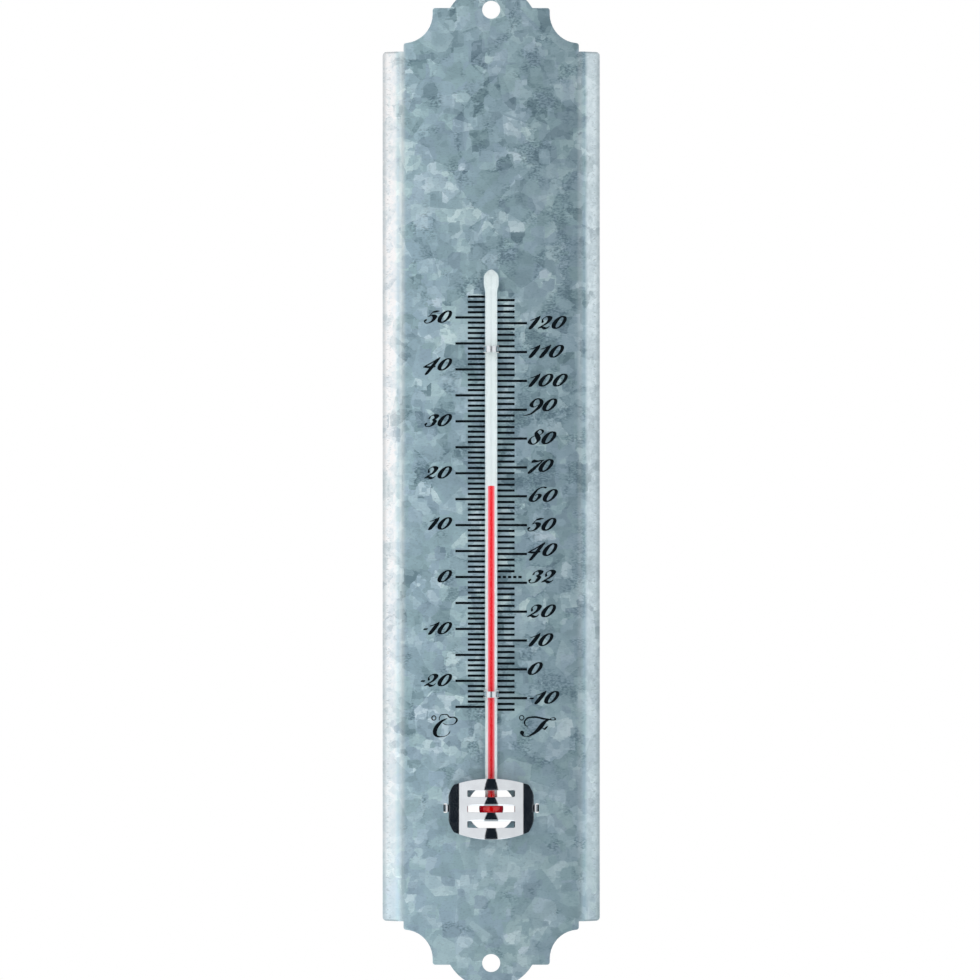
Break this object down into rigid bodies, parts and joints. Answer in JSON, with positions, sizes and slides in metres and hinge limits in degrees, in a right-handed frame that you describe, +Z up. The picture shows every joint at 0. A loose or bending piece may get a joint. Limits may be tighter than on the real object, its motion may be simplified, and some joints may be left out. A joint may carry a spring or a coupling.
{
  "type": "wall thermometer",
  "caption": "Tall galvanised sheet-metal wall thermometer with rounded end tabs, a red spirit tube, Celsius and Fahrenheit scales and a pierced bulb guard.",
  "frame": {"origin": "midway between the two screw holes, on the rear face of the flat panel", "axes": "+Z up along the tube, +X to the viewer's right, the scale faces -Y and the wall is on the +Y side"},
  "size_m": [0.065, 0.0107, 0.3],
  "materials": {
    "galvanised_sheet": "hot-dip galvanised, with a matt blue-grey spangle",
    "clear_glass": "clear, smooth",
    "white_enamel": "opaque milk-white enamel glass",
    "red_spirit": "clear red liquid",
    "bright_strap": "bright nickel plate",
    "bright_guard": "polished nickel plate",
    "black_ink": "matt screen-printed black ink"
  },
  "bodies": {
    "thermometer": {"backplate": "galvanised_sheet", "glass_tube": "clear_glass", "enamel_backing": "white_enamel", "bulb_spirit": "red_spirit", "upper_tube_strap": "bright_strap", "lower_tube_strap": "bright_strap", "bulb_guard": "bright_guard", "celsius_graduations": "black_ink", "fahrenheit_graduations": "black_ink"},
    "spirit": {"spirit_column": "red_spirit"}
  },
  "joints": [
    {"name": "spirit_level", "type": "slide", "parent": "thermometer", "child": "spirit", "axis": [0, 0, 1], "range_m": [-0.06612, 0.05649], "deforming": ["spirit_column"]}
  ]
}
